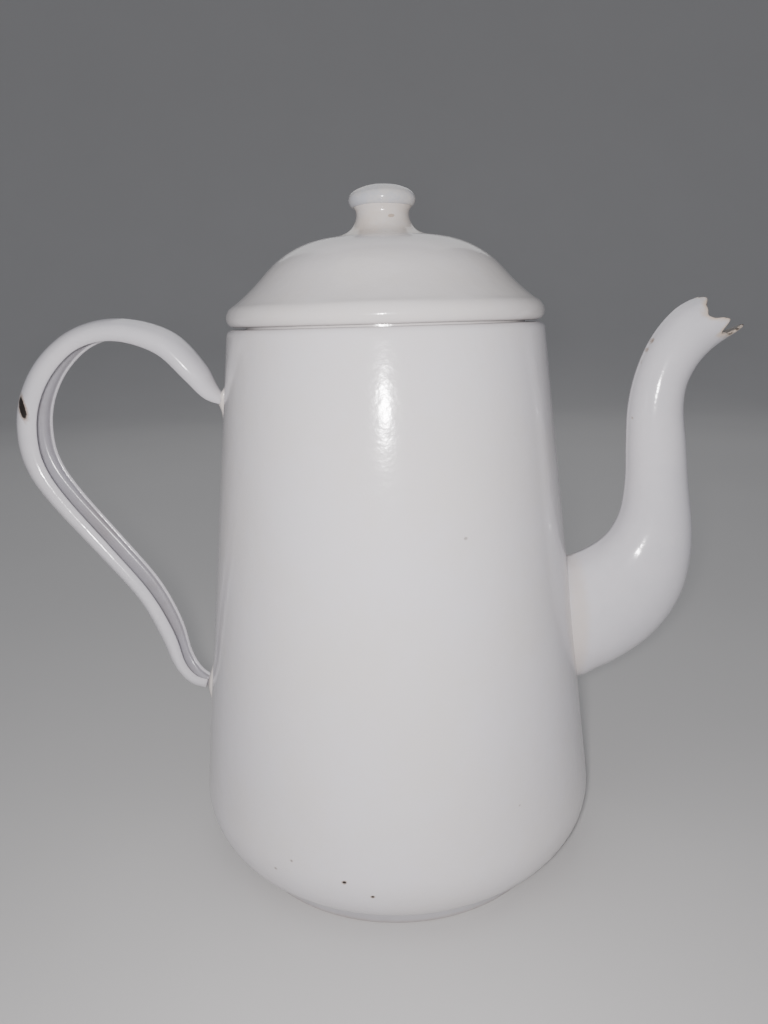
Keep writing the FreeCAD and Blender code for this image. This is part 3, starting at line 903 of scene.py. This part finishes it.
def enamel(name, main=COOL_WHITE, drift=WARM_WHITE, tone_mm=40, amount=0.6, peel=1.0, gloss=0.11,
           stains_and_shade=(), chips=(), pins=0.10, worn=False):
    """White enamel with soft coloured patches of staining and painted shade, and chips (down to the steel).
    """
    material = bpy.data.materials.new(name)
    material.use_nodes = True
    tree = material.node_tree
    shader = tree.nodes["Principled BSDF"]
    tone = use(tree, glaze_tone, {"Main": main, "Drift": drift, "Size": tone_mm * MM, "Amount": amount})
    colour = tone["Color"]
    rough = calc(tree, "MULTIPLY_ADD", tone["Gloss change"], 0.07)
    rough.node.inputs[2].default_value = gloss
    for patch in stains_and_shade:
        share = calc(tree, "MULTIPLY", spot(tree, patch), patch.get("strength", 0.6))
        colour = blend_colour(tree, share, colour, patch.get("colour", CREAM))
    holes = use(tree, pinholes, {"Spacing": 5.5 * MM, "Share": pins, "Radius": 0.17 * MM})["Mask"]
    colour = blend_colour(tree, calc(tree, "MULTIPLY", holes, 0.6), colour, TAN)
    height = use(tree, orange_peel)["Height"]
    height = calc(tree, "MULTIPLY", height, peel)
    bare = None
    for chip in chips:
        seen = chip.get("strength", 1.0)
        wider = [r * RIM_GROWTH + chip.get("halo", 0.15) for r in chip["reach"]]
        rim = spot(tree, {**chip, "reach": wider, "edge": 0.2})
        colour = blend_colour(tree, calc(tree, "MULTIPLY", rim, 0.65 * seen), colour, chip.get("rim", TAN))
        hole = calc(tree, "MULTIPLY", spot(tree, chip), seen)
        colour = blend_colour(tree, hole, colour, chip.get("colour", DARK_STEEL))
        bare = hole if bare is None else calc(tree, "MAXIMUM", bare, hole)
    if worn:
        near_edge = put(tree, "ShaderNodeAttribute", attribute_name="worn").outputs["Fac"]
        rubbed = use(tree, worn_edge, {"Worn": near_edge})
        colour = blend_colour(tree, calc(tree, "MULTIPLY", rubbed["Tan"], 0.8), colour, CREAM)
        colour = blend_colour(tree, rubbed["Bare"], colour, SOOT)
        bare = rubbed["Bare"] if bare is None else calc(tree, "MAXIMUM", bare, rubbed["Bare"])
    pits = holes if bare is None else calc(tree, "MAXIMUM", bare, holes)
    height = calc(tree, "SUBTRACT", height, calc(tree, "MULTIPLY", pits, 1.6))
    if bare is not None:
        rough = calc(tree, "ADD", rough, calc(tree, "MULTIPLY", bare, 0.4))
        tree.links.new(calc(tree, "MULTIPLY", bare, 0.5), shader.inputs["Metallic"])
    relief = put(tree, "ShaderNodeBump", {"Strength": 1.0, "Distance": PEEL_DEPTH, "Height": height})
    tree.links.new(colour, shader.inputs["Base Color"])
    tree.links.new(rough, shader.inputs["Roughness"])
    tree.links.new(relief.outputs["Normal"], shader.inputs["Normal"])
    shader.inputs["IOR"].default_value = 1.52
    return material


# %% [markdown]
# The marks, piece by piece: the body has a few dark nicks near its foot and a faint one higher up,
# a band of painted shade in the crease over the foot ring, and a warm tint where spout and handle join.
# The handle has lost a long chip of enamel at its outer bend, and the spout's back has four small ones.
# Inside the spout the enamel is darkened by painted shade and a coffee stain, and the handle's slot is
# painted darker grey for the shade in its channel.

# %% Materials for the pot
body_enamel = enamel(
    "body_enamel", stains_and_shade=[
        {"at": (60, -14, 73), "reach": (9, 6, 26), "colour": WARM_WHITE, "strength": 0.7, "edge": 0.5},
        {"at": (-51, -3, 146), "reach": (5, 6, 12), "colour": CREAM, "strength": 0.35, "edge": 0.6},
        {"at": (-60, -3, 51), "reach": (5, 6, 14), "colour": CREAM, "strength": 0.35, "edge": 0.6},
        # painted shade along the crease over the foot ring
        {"at": (0, 0, 3.8), "reach": (60, 60, 1.9), "colour": CREASE_PAINTED_SHADE, "strength": 0.9, "edge": 0.55},
    ], chips=[
        {"at": (-15.2, -62, 22.4), "reach": (0.55, 2, 0.36), "ragged": 0.6, "grain": 0.8},
        {"at": (-7.6, -63, 18.6), "reach": (0.42, 2, 0.32), "ragged": 0.6, "grain": 0.8},
        {"at": (-35, -53, 20.5), "reach": (0.3, 2, 0.25), "strength": 0.45},
        {"at": (-30, -56, 25), "reach": (0.3, 2, 0.25), "strength": 0.45},
        {"at": (33.5, -50.5, 38), "reach": (0.3, 2, 0.25), "strength": 0.45},
        {"at": (19, -49.5, 114.5), "reach": (0.4, 2, 0.3), "strength": 0.3},
    ])
foot_enamel = enamel("foot_enamel", main=FOOT_GREY, drift=FOOT_PALE, stains_and_shade=[
    {"at": (0, 0, 0), "reach": (60, 60, 1.2), "colour": TAN, "strength": 0.45, "edge": 0.6}])
spout_enamel = enamel(
    "spout_enamel", main=COOL_WHITE, drift=GREY_WHITE, worn=True, stains_and_shade=[
        {"at": (58, 0, 72.8), "reach": (3.4, 30, 22.4), "colour": CREAM, "strength": 0.35, "edge": 0.45},
    ], chips=[
        {"at": (80.1, -1.6, 161.4), "reach": (0.5, 1.0, 1.2), "tilt": -30, "ragged": 0.5, "grain": 0.9},
        {"at": (78.7, -1.6, 158.6), "reach": (0.45, 1.0, 1.0), "tilt": -30, "ragged": 0.5, "grain": 0.8},
        {"at": (77.2, -1.6, 155.0), "reach": (0.4, 1.0, 1.2), "tilt": -25, "ragged": 0.5, "grain": 0.8,
         "strength": 0.7},
        {"at": (75.7, -2.2, 138.2), "reach": (0.4, 1.0, 0.45), "ragged": 0.5, "grain": 0.8},
    ])
# Inside the spout: painted shade of the tube's hollow and a dark coffee stain.
spout_inside_shade_and_stain = enamel("spout_inside_shade_and_stain", main=SPOUT_DARK, drift=SPOUT_BROWN, tone_mm=14, amount=0.8, gloss=0.28)
handle_enamel = enamel(
    "handle_enamel", main=COOL_WHITE, drift=GREY_WHITE, chips=[
        {"at": (-109.8, -7.6, 147.2), "reach": (1.1, 2.2, 3.7), "tilt": 14, "ragged": 0.35, "grain": 1.6,
         "halo": 0.4},
    ])
# Inside the handle's channel: painted shade, a darker grey.
handle_slot_shade = enamel("handle_slot_shade", main=SLOT_GREY, drift=SLOT_DIM, tone_mm=30, amount=0.6, gloss=0.2)
lug_enamel = enamel("lug_enamel", main=WARM_WHITE, drift=LUG_CREAM, amount=0.4)
lid_enamel = enamel("lid_enamel", main=WARM_WHITE, drift=COOL_WHITE, amount=0.5)
cap_enamel = enamel("cap_enamel", main=CAP_BLUE, drift=CAP_WARM, tone_mm=9, amount=0.9, peel=1.4)
neck_enamel = enamel(
    "neck_enamel", main=WARM_WHITE, drift=NECK_CREAM, tone_mm=12, amount=0.8, peel=1.4, stains_and_shade=[
        {"at": (2.5, -8.0, 198.2), "reach": (1.0, 2.5, 0.5), "colour": TAN, "strength": 0.6, "ragged": 0.6},
    ])

# %% [markdown]
# The rivet is plain steel, dulled and scratched, and the floor is matt paint. Both still get their own
# small variation, because a perfectly even surface looks like plastic.

# %% Steel and floor


def plain_material(name, light, dark, scale, metal, rough):
    """An unglazed surface: two tones by noise, and a little bump."""
    material = bpy.data.materials.new(name)
    material.use_nodes = True
    tree = material.node_tree
    shader = tree.nodes["Principled BSDF"]
    noise = put(tree, "ShaderNodeTexNoise", {"Vector": place_of(tree), "Scale": scale, "Detail": 5.0})
    tree.links.new(blend_colour(tree, noise.outputs["Fac"], dark, light), shader.inputs["Base Color"])
    uneven = ease(tree, noise.outputs["Fac"], 0.3, 0.7, rough - 0.08, rough + 0.08)
    tree.links.new(uneven, shader.inputs["Roughness"])
    relief = put(tree, "ShaderNodeBump", {
        "Strength": 0.3, "Distance": 0.0001, "Height": noise.outputs["Fac"]})
    tree.links.new(relief.outputs["Normal"], shader.inputs["Normal"])
    shader.inputs["Metallic"].default_value = metal
    return material


rivet_steel = plain_material("rivet_steel", (0.42, 0.40, 0.38, 1), (0.16, 0.13, 0.11, 1), 900, 1.0, 0.45)
floor_paint = plain_material("floor_paint", (0.66, 0.65, 0.64, 1), (0.62, 0.61, 0.60, 1), 6, 0.0, 0.75)
floor.data.materials.append(floor_paint)

# %% [markdown]
# Last, every piece is tied to the frame. Its row gives the body it moves with, its material, the
# record's slot name and the CAD nodes it stands for: the piece is parented to its body, takes its
# material, and its CAD nodes are hidden. The lid's pieces ride on the lid, everything else on the pot.

# %% Tie the pieces to the frame
PIECES = [
    (pot_wall, "pot", body_enamel, "enamel", ["body_wall"]),
    (foot_pan, "pot", foot_enamel, "foot_enamel", ["base_pan"]),
    (spout, "pot", spout_enamel, "spout_enamel", ["spout_left_half", "spout_right_half"]),
    (strap, "pot", handle_enamel, "handle_enamel", ["handle_strap"]),
    (top_lug, "pot", lug_enamel, "lug_enamel", ["handle_top_lug"]),
    (bottom_lug, "pot", lug_enamel, "lug_enamel", ["handle_bottom_lug"]),
    (lid, "lid", lid_enamel, "lid_enamel", ["lid_dome"]),
    (collar, "lid", lid_enamel, "lid_enamel", ["lid_collar"]),
    (neck, "lid", neck_enamel, "knob_enamel", ["knob_neck"]),
    (cap, "lid", cap_enamel, "knob_enamel", ["knob_cap"]),
    (rivet, "lid", rivet_steel, "rivet_steel", ["knob_rivet"]),
]
for piece, body, material, slot_name, nodes in PIECES:
    if not piece.data.materials:
        piece.data.materials.append(None)
    piece.data.materials[0] = material
    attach(piece, body)
    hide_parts(*nodes)
spout.data.materials[1] = spout_inside_shade_and_stain
strap.data.materials[1] = handle_slot_shade
print(len(PIECES), "pieces tied")
